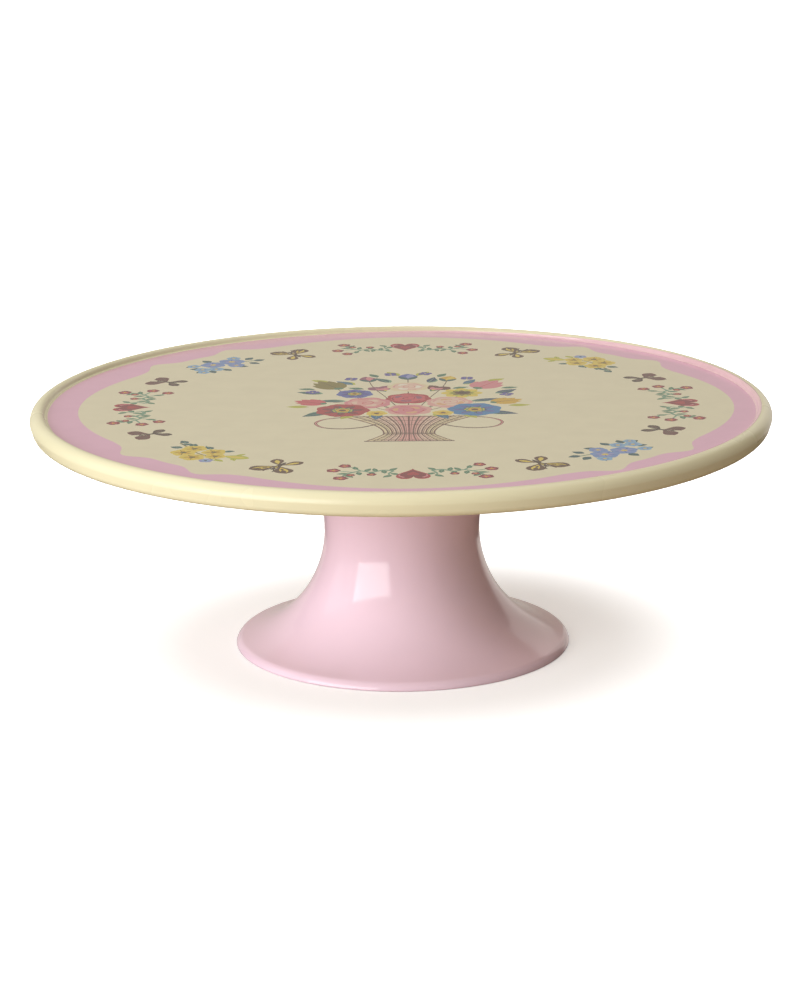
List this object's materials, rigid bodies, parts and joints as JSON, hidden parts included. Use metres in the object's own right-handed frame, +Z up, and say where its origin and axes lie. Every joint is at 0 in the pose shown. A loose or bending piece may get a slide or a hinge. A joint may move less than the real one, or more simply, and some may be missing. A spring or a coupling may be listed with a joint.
{
  "type": "cake stand",
  "caption": "Round cake stand: a flat plate with a raised, rounded rim that screws onto a hollow, waisted trumpet pedestal.",
  "frame": {"origin": "centre of the foot, on the surface that the stand rests on", "axes": "+Z up along the axis of the pedestal and plate; -Y is the front, from which the basket decoration reads upright"},
  "size_m": [0.3, 0.3, 0.102],
  "materials": {
    "cream_melamine": "glossy cream-yellow melamine",
    "pink_melamine": "glossy pale pink melamine",
    "printed_melamine": "glossy melamine over a printed decoration in many colours",
    "thread_plastic": "satin off-white injection-moulded plastic",
    "silicone": "translucent white silicone"
  },
  "bodies": {
    "base": {"pedestal": "pink_melamine", "thread_socket": "thread_plastic"},
    "washer": {"neck_washer": "silicone"},
    "top": {"plate": "cream_melamine", "print_foil": "printed_melamine", "thread_plug": "thread_plastic"}
  },
  "joints": [
    {"name": "plate_turn", "type": "hinge", "parent": "base", "child": "washer", "pos_m": [0, 0, 0.0948], "axis": [0, 0, 1], "range_deg": [0, 720]},
    {"name": "plate_rise", "type": "slide", "parent": "washer", "child": "top", "axis": [0, 0, 1], "range_m": [0, 0.0101]}
  ],
  "couplings": [
    {"joint": "plate_rise", "follows": "plate_turn", "m_per_rad": 0.00079577}
  ]
}
